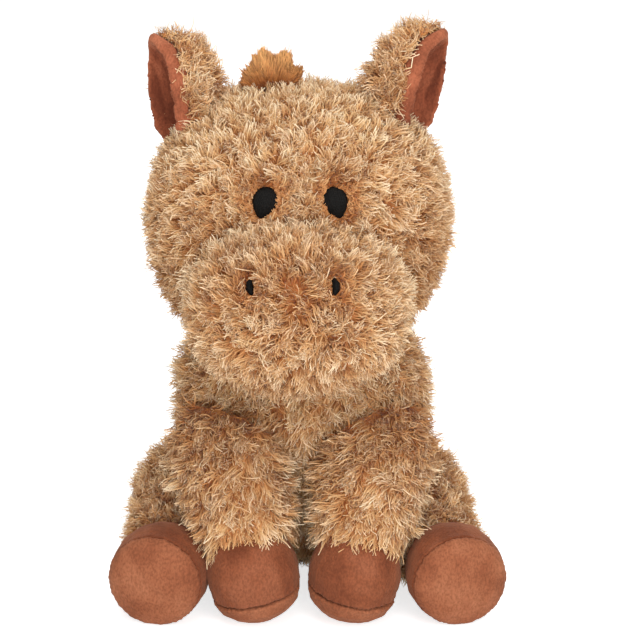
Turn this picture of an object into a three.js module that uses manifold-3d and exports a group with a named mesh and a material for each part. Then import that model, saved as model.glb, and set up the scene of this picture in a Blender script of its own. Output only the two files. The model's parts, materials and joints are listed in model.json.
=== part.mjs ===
// A stuffed horse with long pile, sitting on its seat with all four hooves in front.
// Millimetres. The horse faces -Y, +X is its own left and +Z is up. The origin is the centre
// of the seat panel, on the table. Every surface lies at the mean height of the pile.

import * as THREE from 'three';
import { mergeVertices } from 'three/addons/utils/BufferGeometryUtils.js';
import Module from 'manifold-3d';

const wasm = await Module();
wasm.setup();

// Sizes that all pieces share
const gap = 0.3; // left between pieces that are sewn together
const tableDip = 0.5; // how far the table presses into what stands on it
const overrun = 300; // how far a cutting form runs past what it cuts
const weld = 0.001; // points closer than this are one point
const sweepStep = 15; // degrees between the positions that a seam is cut for
const hoofLine = 115; // how far in front of the seat all four hooves stand

// Body: a pear that leans forward from the seat to the neck
const body = {
  height: 128,
  lean: 54,
  halfWidth: 57,
  halfDepth: 48,
  riseShares: [0, 0.3, 0.65, 1],
  leanShares: [0.02, 0.16, 0.55, 1],
  widthShares: [0.82, 0.96, 1, 1.01, 1.04, 1.04, 0.96],
  depthShares: [0.84, 0.97, 1, 1.02, 1.04, 1.01, 0.86],
  bottomShare: 0.24,
  topShare: 0.3,
};

// Seat panel in the bottom of the body, and the pouch of pellets that lies on it
const seat = { radius: 30, thickness: 3.3, edge: 4 };
const pouch = { radius: seat.radius - 3, height: 16 };

// Head: sits over the top of the body, which sinks into its underside
const head = {
  halfWidth: 69.3,
  halfDepth: 58.5,
  halfHeight: 67.5,
  sink: 21,
  aside: -1.5,
  forward: -6,
  widthShares: [0.78, 0.93, 1, 1, 0.98],
  nodDown: -5,
  nodUp: 16,
};
const muzzle = { halfWidth: 48.5, halfDepth: 44, halfHeight: 37, aside: -0.5, forward: 56, drop: 22.7 };

// Face embroidery
const eye = {
  spread: 13.7, aside: 1.2, rise: 24.8, height: 14, halfWidth: 6.4, halfThickness: 3.2, tipAside: 4.5,
  bendShare: 0.5, widthShares: [0.98, 1, 0.96, 0.8, 0.6],
};
const nostril = {
  spread: 17.3, aside: -1.2, rise: 17.5, height: 7.8, halfWidth: 2, halfThickness: 3, bow: 1.8,
};

// Ears: cups whose mouths look outwards and a little forwards
const ear = {
  height: 47.5,
  root: 12,
  halfWidth: 17,
  halfDepth: 17.5,
  turn: 27,
  bow: 4,
  fold: 14,
  widthShares: [0.9, 1.04, 1.02, 0.88, 0.6],
  depthShares: [0.9, 1, 1, 0.84, 0.56],
};
const earCup = { wall: 10, rim: 0.9, floor: 0.9, overTip: 3, halfWidth: 16.5, lining: 2.4 };
const earPlace = {
  left: { roundAngle: 42, lean: 19 },
  right: { roundAngle: 47, lean: 12 },
};

// Tufts of straight pile
const forelock = { aside: 12.5, root: 8, halfWidth: 6, halfThickness: 5, reach: 21 };
const forelockLobes = [
  { angle: -72, reachShare: 0.8, widthShare: 0.5 },
  { angle: -50, reachShare: 0.86, widthShare: 0.62 },
  { angle: -17, reachShare: 1.04, widthShare: 0.95 },
  { angle: 20, reachShare: 1, widthShare: 1 },
  { angle: 50, reachShare: 0.88, widthShare: 0.8 },
];
const mane = {
  lobes: 9, startAngle: 42, endAngle: 116, reach: 19, rootShare: 0.35, halfWidth: 10, halfThickness: 10,
  splayAngle: 12,
};
const tail = {
  rise: 50, reach: 52, halfWidth: 9, halfThickness: 8, hangAngle: 62, splayAngle: 12, liftAngle: 60,
};

// Front legs: columns from the chest to hooves that stand a little forward
const frontLeg = {
  shoulderSpread: 36.5,
  shoulderShare: 0.64,
  shoulderInset: 4,
  halfWidth: 24.4,
  halfDepth: 23,
  crown: 20,
  liftAngle: 45,
  widthShares: [0.92, 1, 1.02, 0.99, 0.88, 0.76],
};
const frontHoof = {
  radius: 20.6,
  height: 31,
  ankle: 17.5,
  sole: 14,
  edge: 1.5,
  setBack: 8,
  tiltAngle: -4,
  rollAngle: 10,
  hemShare: 0.45,
};
const frontPlace = { left: { spread: 23.6 }, right: { spread: 21.4 } };

// Hind legs: haunches at the sides of the body, stretched forward along the table
const hindLeg = {
  hipRise: 28,
  hipForward: -8,
  halfWidth: 30.5,
  halfDepth: 26.5,
  crown: 20,
  spreadAngle: 30,
  widthShares: [0.9, 1, 0.98, 0.86, 0.7, 0.6],
};
const hindHoof = {
  radius: 22,
  height: 34,
  ankle: 18.5,
  sole: 8.5,
  edge: 1.5,
  toeUpAngle: -3,
  toeOutAngle: 12,
  hemShare: 0.36,
};
const hindPlace = {
  left: { hipSpread: 42, kneeSpread: 53.5, spread: 74 },
  right: { hipSpread: 46, kneeSpread: 56, spread: 68.5 },
};
const hoofWidthShares = [1, 1.05, 1.06, 1.03, 0.97, 0.88]; // of a hoof, upwards from its seam

// Finish of each fabric
const fabrics = {
  plush: { color: 0xc09a70, roughness: 0.95 },
  velour: { color: 0xa5663f, roughness: 0.85 },
  liningVelour: { color: 0x8c4f36, roughness: 0.85 },
  pile: { color: 0xbf8549, roughness: 0.9 },
  thread: { color: 0x1c1a19, roughness: 0.55 },
  cotton: { color: 0xd8cfc0, roughness: 0.9 },
};

const sides = { left: 1, right: -1 };
const up = new THREE.Vector3(0, 0, 1);
const leftward = new THREE.Vector3(1, 0, 0);

function point(x, y, z) {
  return new THREE.Vector3(x, y, z);
}

function radians(degrees) {
  return THREE.MathUtils.degToRad(degrees);
}

// A direction in the XZ plane, measured from straight up towards +X
function lean(degrees) {
  return point(Math.sin(radians(degrees)), 0, Math.cos(radians(degrees)));
}

// Bare, welded geometry without the slivers that a revolve leaves on its axis
function welded(geometry) {
  const bare = geometry.clone();
  bare.deleteAttribute('normal');
  bare.deleteAttribute('uv');
  const merged = mergeVertices(bare, weld);
  const kept = [];
  for (let i = 0; i < merged.index.count; i += 3) {
    const corners = [0, 1, 2].map((k) => merged.index.getX(i + k));
    if (new Set(corners).size === 3) kept.push(...corners);
  }
  merged.setIndex(kept);
  return merged;
}

// How far a form has opened at a share of its length from one rounded end
function roundEnd(share, endShare, power) {
  if (share >= endShare) return 1;
  return (1 - (1 - share / endShare) ** power) ** (1 / power);
}

function smoothShares(shares) {
  const count = shares.length - 1;
  return new THREE.SplineCurve(shares.map((share, i) => new THREE.Vector2(i / count, share)));
}

// A stuffed form: a closed loft along a spine, whose sections are rounded ellipses.
// The shares say how wide and deep it is at even steps along the spine.
function stuffed({
  spine, across, halfWidth, halfDepth, widthShares = [1, 1], depthShares = widthShares,
  startShare = 0.5, endShare = 0.5, startPower = 2, endPower = 2, sectionPower = 2.2,
  rings = 12, around = 16,
}) {
  const curve = new THREE.CatmullRomCurve3(spine, false, 'centripetal');
  const widths = smoothShares(widthShares);
  const depths = smoothShares(depthShares);
  const positions = [];
  const triangles = [];
  const push = (p) => positions.push(p.x, p.y, p.z) / 3 - 1;
  const bend = (value) => Math.sign(value) * Math.abs(value) ** (2 / sectionPower);
  const loops = [];
  for (let ring = 1; ring < rings; ring += 1) {
    const share = (1 - Math.cos((Math.PI * ring) / rings)) / 2;
    const open = roundEnd(share, startShare, startPower) * roundEnd(1 - share, endShare, endPower);
    const centre = curve.getPointAt(share);
    const along = curve.getTangentAt(share);
    const side = across.clone().addScaledVector(along, -across.dot(along)).normalize();
    const deep = along.clone().cross(side);
    const loop = [];
    for (let k = 0; k < around; k += 1) {
      const turn = (2 * Math.PI * k) / around;
      const sideways = bend(Math.cos(turn)) * open * halfWidth * widths.getPoint(share).y;
      const deepways = bend(Math.sin(turn)) * open * halfDepth * depths.getPoint(share).y;
      loop.push(push(centre.clone().addScaledVector(side, sideways).addScaledVector(deep, deepways)));
    }
    loops.push(loop);
  }
  const first = push(curve.getPointAt(0));
  const last = push(curve.getPointAt(1));
  for (let k = 0; k < around; k += 1) {
    const next = (k + 1) % around;
    triangles.push(first, loops[0][next], loops[0][k]);
    triangles.push(last, loops.at(-1)[k], loops.at(-1)[next]);
    for (let ring = 1; ring < loops.length; ring += 1) {
      const [low, high] = [loops[ring - 1], loops[ring]];
      triangles.push(low[k], low[next], high[k], low[next], high[next], high[k]);
    }
  }
  const geometry = new THREE.BufferGeometry();
  geometry.setAttribute('position', new THREE.Float32BufferAttribute(positions, 3));
  geometry.setIndex(triangles);
  return geometry;
}

// A solid turned about the z axis, from points given as [radius, height] upwards along its skin
function revolved(profile, segments = 18) {
  const lathe = new THREE.LatheGeometry(profile.map(([r, z]) => new THREE.Vector2(r, z)), segments);
  return welded(lathe.rotateX(Math.PI / 2));
}

// Points of a quarter ellipse between two corners of a profile, the first point left out
function quarter([fromRadius, fromHeight], [toRadius, toHeight], steps, outwardFirst) {
  return Array.from({ length: steps }, (unused, i) => {
    const turn = ((i + 1) / steps) * (Math.PI / 2);
    const early = Math.sin(turn);
    const late = 1 - Math.cos(turn);
    const [r, z] = outwardFirst ? [early, late] : [late, early];
    return [fromRadius + (toRadius - fromRadius) * r, fromHeight + (toHeight - fromHeight) * z];
  });
}

function toSolid(geometry) {
  const mesh = welded(geometry);
  return new wasm.Manifold(new wasm.Mesh({
    numProp: 3,
    vertProperties: new Float32Array(mesh.attributes.position.array),
    triVerts: new Uint32Array(mesh.index.array),
  }));
}

function toGeometry(solid) {
  const mesh = solid.getMesh();
  const geometry = new THREE.BufferGeometry();
  geometry.setAttribute('position', new THREE.BufferAttribute(mesh.vertProperties, 3));
  geometry.setIndex(new THREE.BufferAttribute(mesh.triVerts, 1));
  return geometry;
}

function cut(form, ...tools) {
  return toGeometry(tools.reduce((solid, tool) => solid.subtract(toSolid(tool)), toSolid(form)));
}

function shared(form, other) {
  return toGeometry(toSolid(form).intersect(toSolid(other)));
}

function joined(forms) {
  return toGeometry(forms.map(toSolid).reduce((whole, solid) => whole.add(solid)));
}

// The same form with its skin moved out by a distance, to cut the pieces that lie against it
function grown(form, distance = gap) {
  const skin = form.clone();
  skin.computeVertexNormals();
  const { position, normal } = skin.attributes;
  for (let i = 0; i < position.count; i += 1) {
    const p = point(0, 0, 0).fromBufferAttribute(position, i);
    p.addScaledVector(point(0, 0, 0).fromBufferAttribute(normal, i), distance);
    position.setXYZ(i, p.x, p.y, p.z);
  }
  return skin;
}

// A form turned about a hinge
function turned(form, hinge, degrees) {
  const { x, y, z } = hinge.at;
  return form.clone()
    .translate(-x, -y, -z)
    .applyMatrix4(new THREE.Matrix4().makeRotationAxis(hinge.axis, radians(degrees)))
    .translate(x, y, z);
}

// Every place that a form takes, seen from a piece that turns on a hinge
function passed(form, hinge) {
  const skin = grown(form);
  const steps = Math.ceil((hinge.high - hinge.low) / sweepStep);
  return Array.from({ length: steps + 1 }, (unused, i) => {
    return turned(skin, hinge, -THREE.MathUtils.lerp(hinge.low, hinge.high, i / steps));
  });
}

// Every place that a turning form takes itself
function travelled(form, hinge) {
  return passed(form, { ...hinge, low: -hinge.high, high: -hinge.low });
}

// The point where a ray from outside first meets a form
function landing(form, from, towards) {
  const target = new THREE.Mesh(form, new THREE.MeshBasicMaterial({ side: THREE.DoubleSide }));
  const ray = new THREE.Raycaster(from, towards.clone().sub(from).normalize());
  return ray.intersectObject(target)[0].point;
}

const tableTop = new THREE.BoxGeometry(overrun, overrun, overrun).translate(0, 0, -overrun / 2);

// Body, seat panel and pouch

const bodyForm = stuffed({
  spine: body.riseShares.map((share, i) => {
    return point(0, -body.lean * body.leanShares[i], body.height * share - tableDip * (1 - share));
  }),
  across: leftward,
  halfWidth: body.halfWidth,
  halfDepth: body.halfDepth,
  widthShares: body.widthShares,
  depthShares: body.depthShares,
  startShare: body.bottomShare,
  endShare: body.topShare,
  startPower: 2.6,
  endPower: 2.3,
  rings: 17,
  around: 24,
});

function seatPanelForm(clearance) {
  const radius = seat.radius + clearance;
  const top = seat.thickness + clearance;
  const flat = radius - seat.edge;
  const lift = seat.thickness / 2;
  return revolved([
    [0, 0],
    [flat, 0],
    ...quarter([flat, 0], [radius, lift], 3, true),
    [radius, top],
    [0, top],
  ]);
}

function pouchForm(clearance) {
  const radius = pouch.radius + clearance;
  const bottom = seat.thickness + gap - clearance;
  const middle = seat.thickness + gap + pouch.height / 2;
  const top = middle + pouch.height / 2 + clearance;
  return revolved([
    [0, bottom],
    ...quarter([0, bottom], [radius, middle], 4, true),
    ...quarter([radius, middle], [0, top], 4, false),
  ]);
}

const seatRecess = seatPanelForm(gap);
const underSeat = revolved([
  [0, -overrun],
  [seat.radius + gap, -overrun],
  [seat.radius + gap, seat.thickness / 2],
  [0, seat.thickness / 2],
]);

// Head and what it carries

const neck = point(0, -body.lean, body.height - head.sink / 2);
const headRise = body.height + head.halfHeight - head.sink;
const headCentre = point(head.aside, -body.lean - head.forward, headRise);
const nod = { at: neck, axis: leftward.clone().negate(), low: head.nodDown, high: head.nodUp };

const headForm = stuffed({
  spine: [
    headCentre.clone().addScaledVector(up, -head.halfHeight),
    headCentre.clone().addScaledVector(up, head.halfHeight),
  ],
  across: leftward,
  halfWidth: head.halfWidth,
  halfDepth: head.halfDepth,
  widthShares: head.widthShares,
  startPower: 2.2,
  endPower: 2.5,
  sectionPower: 2.3,
  rings: 16,
  around: 26,
});

const muzzleCentre = headCentre.clone().add(point(muzzle.aside, -muzzle.forward, -muzzle.drop));
const muzzleForm = stuffed({
  spine: [
    muzzleCentre.clone().add(point(0, muzzle.halfDepth, 0)),
    muzzleCentre.clone().add(point(0, -muzzle.halfDepth, 0)),
  ],
  across: leftward,
  halfWidth: muzzle.halfWidth,
  halfDepth: muzzle.halfHeight,
  startPower: 2.2,
  endPower: 2.2,
  rings: 12,
  around: 22,
});

const bodyPassed = passed(bodyForm, nod);
const headSkin = grown(headForm);
const muzzleSkin = grown(muzzleForm);

// An embroidered eye: an egg with its wide end up, its tip a little outwards
function eyeForm(side) {
  const x = headCentre.x + eye.aside + side * eye.spread;
  const z = headCentre.z + eye.rise;
  const front = landing(headForm, point(x, -overrun, z), point(x, 0, z));
  return stuffed({
    spine: [
      point(x, front.y + eye.halfThickness / 2, z + eye.height / 2),
      point(x + side * eye.tipAside * eye.bendShare, front.y, z),
      point(x + side * eye.tipAside, front.y - eye.halfThickness / 2, z - eye.height / 2),
    ],
    across: leftward,
    halfWidth: eye.halfWidth,
    halfDepth: eye.halfThickness,
    widthShares: eye.widthShares,
    rings: 7,
    around: 10,
  });
}

// An embroidered nostril: a crescent that bows outwards
function nostrilForm(side) {
  const x = muzzleCentre.x + nostril.aside + side * nostril.spread;
  const z = muzzleCentre.z + nostril.rise;
  const heights = [1, 0, -1].map((share) => z + (share * nostril.height) / 2);
  const onMuzzle = heights.map((height) => {
    return landing(muzzleForm, point(x, -overrun, height), point(x, muzzleCentre.y, height));
  });
  onMuzzle[1].x += side * nostril.bow;
  return stuffed({
    spine: onMuzzle,
    across: leftward,
    halfWidth: nostril.halfWidth,
    halfDepth: nostril.halfThickness,
    widthShares: [0.8, 1, 0.8],
    rings: 7,
    around: 8,
  });
}

// Ears

function earParts(name) {
  const side = sides[name];
  const place = earPlace[name];
  const away = lean(side * place.roundAngle);
  const base = landing(headForm, headCentre.clone().addScaledVector(away, overrun), headCentre);
  const along = lean(side * place.lean);
  const mouth = point(side * Math.cos(radians(ear.turn)), -Math.sin(radians(ear.turn)), 0);
  mouth.addScaledVector(along, -mouth.dot(along)).normalize();
  const hinge = { at: base, axis: along.clone().cross(mouth), low: -ear.fold, high: ear.fold };
  const at = (outwards, rise) => {
    return base.clone().addScaledVector(mouth, outwards).addScaledVector(along, rise);
  };
  const shell = stuffed({
    spine: [at(0, -ear.root), at(-ear.bow / 2, ear.height / 2), at(ear.bow, ear.height)],
    across: mouth,
    halfWidth: ear.halfWidth,
    halfDepth: ear.halfDepth,
    widthShares: ear.widthShares,
    depthShares: ear.depthShares,
    startShare: 0.3,
    endShare: 0.42,
    rings: 10,
    around: 14,
  });
  const cup = (clearance, shift) => stuffed({
    spine: [
      at(earCup.wall + shift, earCup.floor - ear.root - clearance),
      at(earCup.wall - ear.bow / 2 + shift, ear.height / 2),
      at(earCup.wall + ear.bow + shift, ear.height + earCup.overTip + clearance),
    ],
    across: mouth,
    halfWidth: earCup.halfWidth + clearance,
    halfDepth: ear.halfDepth - earCup.rim + clearance,
    widthShares: ear.widthShares,
    depthShares: ear.depthShares,
    startShare: 0.3,
    endShare: 0.42,
    rings: 9,
    around: 12,
  });
  const headPassed = passed(headForm, hinge);
  return {
    hinge,
    shell: cut(shell, cup(gap, 0), ...headPassed),
    lining: cut(shared(shell, cup(0, 0)), cup(-earCup.lining, earCup.lining), ...headPassed),
  };
}

// Tufts of straight pile: lobes that share a root

function lobe(root, direction, across, reach, halfWidth, halfThickness) {
  return stuffed({
    spine: [root, root.clone().addScaledVector(direction, reach)],
    across,
    halfWidth,
    halfDepth: halfThickness,
    widthShares: [0.5, 0.85, 1, 0.9],
    depthShares: [0.9, 1, 0.85, 0.6],
    startShare: 0.3,
    endShare: 0.3,
    rings: 5,
    around: 8,
  });
}

function forelockForm() {
  const above = headCentre.clone().add(point(-forelock.aside, 0, overrun));
  const crown = landing(headForm, above, headCentre.clone().add(point(-forelock.aside, 0, 0)));
  const pad = stuffed({
    spine: [
      crown.clone().add(point(-forelock.root, 0, 0)),
      crown.clone().add(point(forelock.root, 0, 0)),
    ],
    across: up,
    halfWidth: forelock.halfWidth,
    halfDepth: forelock.halfThickness,
    rings: 5,
    around: 8,
  });
  const lobes = forelockLobes.map(({ angle, reachShare, widthShare }) => {
    const reach = forelock.reach * reachShare;
    const halfWidth = forelock.halfWidth * widthShare;
    return lobe(crown, lean(angle), lean(angle + 90), reach, halfWidth, forelock.halfThickness);
  });
  return joined([pad, ...lobes]);
}

function maneForm() {
  const lobes = Array.from({ length: mane.lobes }, (unused, i) => {
    const turn = radians(THREE.MathUtils.lerp(mane.startAngle, mane.endAngle, i / (mane.lobes - 1)));
    const away = point(0, Math.sin(turn), Math.cos(turn));
    const root = landing(headForm, headCentre.clone().addScaledVector(away, overrun), headCentre);
    root.addScaledVector(away, -mane.reach * mane.rootShare);
    const splay = radians(i % 2 === 0 ? mane.splayAngle : -mane.splayAngle);
    const direction = away.multiplyScalar(Math.cos(splay)).addScaledVector(leftward, Math.sin(splay));
    return lobe(root, direction, leftward, mane.reach, mane.halfWidth, mane.halfThickness);
  });
  return joined(lobes);
}

// Tail: lobes that hang from a seam low on the back

const tailRoot = landing(bodyForm, point(0, overrun, tail.rise), point(0, 0, tail.rise));
const wag = { at: tailRoot, axis: leftward, low: 0, high: tail.liftAngle };

function tailForm() {
  const hang = radians(tail.hangAngle);
  const lobes = [-1, 0, 1].map((step) => {
    const sideways = Math.sin(radians(step * tail.splayAngle));
    const down = point(sideways, Math.cos(hang), -Math.sin(hang)).normalize();
    return lobe(tailRoot, down, leftward, tail.reach, tail.halfWidth, tail.halfThickness);
  });
  return joined(lobes);
}

// Hooves: a velour band with a domed sole, turned about the leg's own line.
// Each is built standing on z = 0 at the seam, then turned and set down on the table.

function hoofBand({ radius, height, ankle, edge }) {
  const side = hoofWidthShares.map((share, i) => {
    return [radius * share, THREE.MathUtils.lerp(edge, height - ankle / 2, i / (hoofWidthShares.length - 1))];
  });
  return revolved([
    [0, 0],
    [radius - edge, 0],
    ...quarter([radius - edge, 0], side[0], 2, true),
    ...side.slice(1),
    ...quarter(side.at(-1), [0, height], 3, false),
  ]);
}

function hoofSole({ radius, sole, edge }) {
  return revolved([
    [0, -sole],
    ...quarter([0, -sole], [radius, -edge], 4, true),
    ...quarter([radius, -edge], [radius - edge, -gap], 2, false),
    [0, -gap],
  ]);
}

// Turns a hoof so that its sole looks along a direction, and sets it down on the table
function setDown(hoof, direction, x, y) {
  const turn = new THREE.Quaternion().setFromUnitVectors(up.clone().negate(), direction);
  const parts = [hoofBand(hoof), hoofSole(hoof)].map((form) => form.applyQuaternion(turn));
  parts[1].computeBoundingBox();
  const seam = point(x, y, -parts[1].boundingBox.min.z - tableDip);
  const [band, sole] = parts.map((form) => form.translate(seam.x, seam.y, seam.z));
  return { band, sole, seam, ankle: seam.clone().addScaledVector(direction, -hoof.height) };
}

function frontLegParts(name) {
  const side = sides[name];
  const beside = point(side * frontLeg.shoulderSpread, 0, frontLeg.shoulderShare * body.height);
  const chest = landing(bodyForm, beside.clone().add(point(0, -overrun, 0)), beside);
  const shoulder = chest.add(point(0, frontLeg.shoulderInset, 0));
  const roll = Math.tan(radians(frontHoof.rollAngle));
  const tilt = Math.tan(radians(frontHoof.tiltAngle));
  const direction = point(-side * roll, -tilt, -1).normalize();
  const hoof = setDown(frontHoof, direction, side * frontPlace[name].spread, frontHoof.setBack - hoofLine);
  const downLeg = hoof.ankle.clone().sub(shoulder).normalize();
  const hinge = { at: shoulder, axis: leftward.clone().negate(), low: 0, high: frontLeg.liftAngle };
  const form = stuffed({
    spine: [
      shoulder.clone().addScaledVector(downLeg, -frontLeg.crown),
      shoulder.clone().lerp(hoof.ankle, 0.5),
      hoof.ankle.clone().addScaledVector(direction, frontHoof.height * frontHoof.hemShare),
    ],
    across: leftward,
    halfWidth: frontLeg.halfWidth,
    halfDepth: frontLeg.halfDepth,
    widthShares: frontLeg.widthShares,
    startShare: 0.34,
    endShare: 0.16,
    rings: 10,
    around: 15,
  });
  return { ...hoof, hinge, form };
}

function hindLegParts(name) {
  const side = sides[name];
  const place = hindPlace[name];
  const hip = point(side * place.hipSpread, -hindLeg.hipForward, hindLeg.hipRise);
  const outwards = lean(hindHoof.toeOutAngle);
  const toeUp = Math.tan(radians(hindHoof.toeUpAngle));
  const direction = point(side * outwards.x, -outwards.z, toeUp).normalize();
  const hoof = setDown(hindHoof, direction, side * place.spread, -hoofLine);
  const hinge = { at: hip, axis: up.clone().multiplyScalar(side), low: 0, high: hindLeg.spreadAngle };
  const form = stuffed({
    spine: [
      hip.clone().add(point(0, hindLeg.crown, 0)),
      point(side * place.kneeSpread, (hip.y + hoof.ankle.y) / 2, hindLeg.hipRise),
      hoof.ankle.clone().addScaledVector(direction, hindHoof.height * hindHoof.hemShare),
    ],
    across: leftward,
    halfWidth: hindLeg.halfWidth,
    halfDepth: hindLeg.halfDepth,
    widthShares: hindLeg.widthShares,
    startShare: 0.34,
    endShare: 0.14,
    rings: 11,
    around: 15,
  });
  return { ...hoof, hinge, form };
}

// Assembly: one group for each body that moves, placed at its seam, with the seam's hinge

const horse = new THREE.Group();

function movingGroup(hinge, carrier = horse, carrierAt = point(0, 0, 0)) {
  const group = new THREE.Group();
  group.position.copy(hinge.at).sub(carrierAt);
  group.userData = { axis: hinge.axis.toArray(), low: hinge.low, high: hinge.high };
  carrier.add(group);
  return group;
}

function add(group, at, name, geometry, fabric) {
  const placed = geometry.clone().translate(-at.x, -at.y, -at.z);
  placed.computeVertexNormals();
  const mesh = new THREE.Mesh(placed, new THREE.MeshStandardMaterial({ ...fabrics[fabric], metalness: 0 }));
  mesh.name = name;
  group.add(mesh);
}

const origin = point(0, 0, 0);
add(horse, origin, 'body', cut(bodyForm, seatRecess, underSeat, pouchForm(gap)), 'plush');
add(horse, origin, 'seat_panel', seatPanelForm(0), 'plush');
add(horse, origin, 'bean_pouch', pouchForm(0), 'cotton');

const headGroup = movingGroup(nod);
add(headGroup, neck, 'head', cut(headForm, ...bodyPassed), 'plush');
add(headGroup, neck, 'muzzle', cut(muzzleForm, headSkin, ...bodyPassed), 'plush');
add(headGroup, neck, 'forelock', cut(forelockForm(), headSkin), 'pile');
add(headGroup, neck, 'mane', cut(maneForm(), headSkin, ...bodyPassed), 'pile');

for (const [name, side] of Object.entries(sides)) {
  add(headGroup, neck, `eye_${name}`, cut(eyeForm(side), headSkin, muzzleSkin), 'thread');
  add(headGroup, neck, `nostril_${name}`, cut(nostrilForm(side), muzzleSkin), 'thread');

  const { hinge, shell, lining } = earParts(name);
  const earGroup = movingGroup(hinge, headGroup, neck);
  add(earGroup, hinge.at, `ear_${name}`, shell, 'plush');
  add(earGroup, hinge.at, `ear_lining_${name}`, lining, 'liningVelour');

  const front = frontLegParts(name);
  const shoulder = front.hinge.at;
  const frontGroup = movingGroup(front.hinge);
  const chestPassed = passed(bodyForm, front.hinge);
  add(frontGroup, shoulder, `front_leg_${name}`, cut(front.form, grown(front.band), ...chestPassed), 'plush');
  add(frontGroup, shoulder, `front_hoof_${name}`, cut(front.band, tableTop), 'velour');
  add(frontGroup, shoulder, `front_sole_${name}`, cut(front.sole, tableTop), 'velour');

  const hind = hindLegParts(name);
  const hip = hind.hinge.at;
  const hindGroup = movingGroup(hind.hinge);
  const inTheWay = [front.form, front.band, front.sole].flatMap((form) => travelled(form, front.hinge));
  const bodySwept = passed(bodyForm, hind.hinge);
  const legTools = [grown(hind.band), tableTop, ...bodySwept, ...inTheWay];
  add(hindGroup, hip, `hind_leg_${name}`, cut(hind.form, ...legTools), 'plush');
  add(hindGroup, hip, `hind_hoof_${name}`, cut(hind.band, tableTop, ...inTheWay), 'velour');
  add(hindGroup, hip, `hind_sole_${name}`, cut(hind.sole, tableTop, ...inTheWay), 'velour');
}

const tailGroup = movingGroup(wag);
add(tailGroup, tailRoot, 'tail', cut(tailForm(), tableTop, ...passed(bodyForm, wag)), 'pile');

export default horse;
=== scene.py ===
import json
import math

import bpy
import numpy as np
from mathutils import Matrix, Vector, noise
from mathutils.bvhtree import BVHTree
from mathutils.kdtree import KDTree


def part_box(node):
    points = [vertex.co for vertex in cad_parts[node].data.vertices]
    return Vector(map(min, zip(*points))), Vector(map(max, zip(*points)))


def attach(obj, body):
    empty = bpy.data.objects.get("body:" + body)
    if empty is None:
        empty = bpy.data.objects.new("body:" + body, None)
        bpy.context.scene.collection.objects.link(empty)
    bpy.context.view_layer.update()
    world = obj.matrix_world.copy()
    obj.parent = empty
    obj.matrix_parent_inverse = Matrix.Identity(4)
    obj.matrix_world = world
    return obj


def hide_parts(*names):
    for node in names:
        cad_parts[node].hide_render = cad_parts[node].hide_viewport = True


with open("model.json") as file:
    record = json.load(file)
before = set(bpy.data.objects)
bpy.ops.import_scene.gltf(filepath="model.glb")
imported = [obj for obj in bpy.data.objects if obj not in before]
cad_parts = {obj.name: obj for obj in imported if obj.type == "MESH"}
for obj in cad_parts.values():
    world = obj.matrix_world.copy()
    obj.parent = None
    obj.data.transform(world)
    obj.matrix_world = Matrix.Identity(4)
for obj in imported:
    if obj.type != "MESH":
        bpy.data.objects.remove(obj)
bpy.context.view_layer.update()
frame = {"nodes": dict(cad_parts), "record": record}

# Metres, the frame's own unit
MM = 0.001
SIDES = {"left": 1, "right": -1}
LEGS = ("front", "hind")
FACE = ("head", "muzzle")
FLOOR_CLEAR = 0.3 * MM
TINY = 1e-9

# How the curly pile of each kind of stuffed piece grows. Length, lock, curl and inset are in
# millimetres, density is in strands per square millimetre, lay is how far the pile leans over along
# its comb, and wander is how far the locks stray from it.
CURLY = {"lock": 3.4, "curl": 1.5, "wander": 0.5, "inset": 3.2}
PILES = {
    "body": {**CURLY, "length": 10.0, "density": 1.55, "comb": "down", "lay": 1.4, "inset": 2.4},
    "head": {**CURLY, "length": 8.8, "density": 1.75, "comb": "face", "lay": 0.55, "wander": 0.38},
    "muzzle": {**CURLY, "length": 9.2, "density": 1.95, "comb": "muzzle", "lay": 0.55},
    "front_leg": {**CURLY, "length": 10.2, "density": 1.75, "comb": "leg", "lay": 2.0, "inset": 2.0},
    "hind_leg": {**CURLY, "length": 9.4, "density": 1.6, "comb": "leg", "lay": 1.3, "inset": 2.4},
    "ear": {**CURLY, "length": 9.0, "density": 1.9, "comb": "ear", "lay": 0.35, "inset": 2.0},
}
PAIRS = ("front_leg", "hind_leg", "ear")
STUFFED = ("body", "head", "muzzle", *(f"{pair}_{side}" for pair in PAIRS for side in SIDES))
FIRST_PILE_SEED = 11

# Voxel size and rounds of smoothing of the copies that are made from the CAD solids
REMESHING = {
    "skin": (2.2 * MM, 6),
    "tuft": (1.0 * MM, 3),
    "tail": (1.2 * MM, 4),
    "hoof": (0.7 * MM, 6),
    "sole": (0.6 * MM, 6),
    "lining": (0.6 * MM, 6),
    "stitch": (0.3 * MM, 4),
    "cloth": (1.0 * MM, 2),
}
SMOOTHING_SHARE = 0.5


# Camera and light

PHOTO_WIDTH_PX = 640
PIXEL = 0.483 * MM
SENSOR_WIDTH = 36
VIEW_DISTANCE = 1.1
VIEW_ELEVATION = math.radians(15)
AIM_ASIDE = 8.7 * MM
AIM_FORWARD = 50 * MM
AIM_HEIGHT = 130 * MM

# Places from the seat's centre and sizes in metres, power in watts
LAMPS = {
    "key": {"aside": 0.45, "forward": 1.3, "height": 0.75, "size": 0.8, "power": 6.5},
    "fill": {"aside": -0.35, "forward": 1.45, "height": 0.3, "size": 0.9, "power": 3},
    "front": {"aside": 0.1, "forward": 1.5, "height": 0.02, "size": 0.9, "power": 13},
    "top": {"aside": 0, "forward": 0.6, "height": 1.4, "size": 0.9, "power": 6},
    "rim": {"aside": 0.2, "forward": -1.3, "height": 1.2, "size": 1.0, "power": 8},
}
LIT_FORWARD = 30 * MM
ROOM_COLOR = (1.0, 0.965, 0.93)
ROOM_STRENGTH = 0.3
FLOOR_SIZE = 30
FLOOR_DROP = 0.4 * MM
FLOOR_GREY = 0.9
FLOOR_GLOW = 0.72
FLOOR_ROUGHNESS = 0.9


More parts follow.
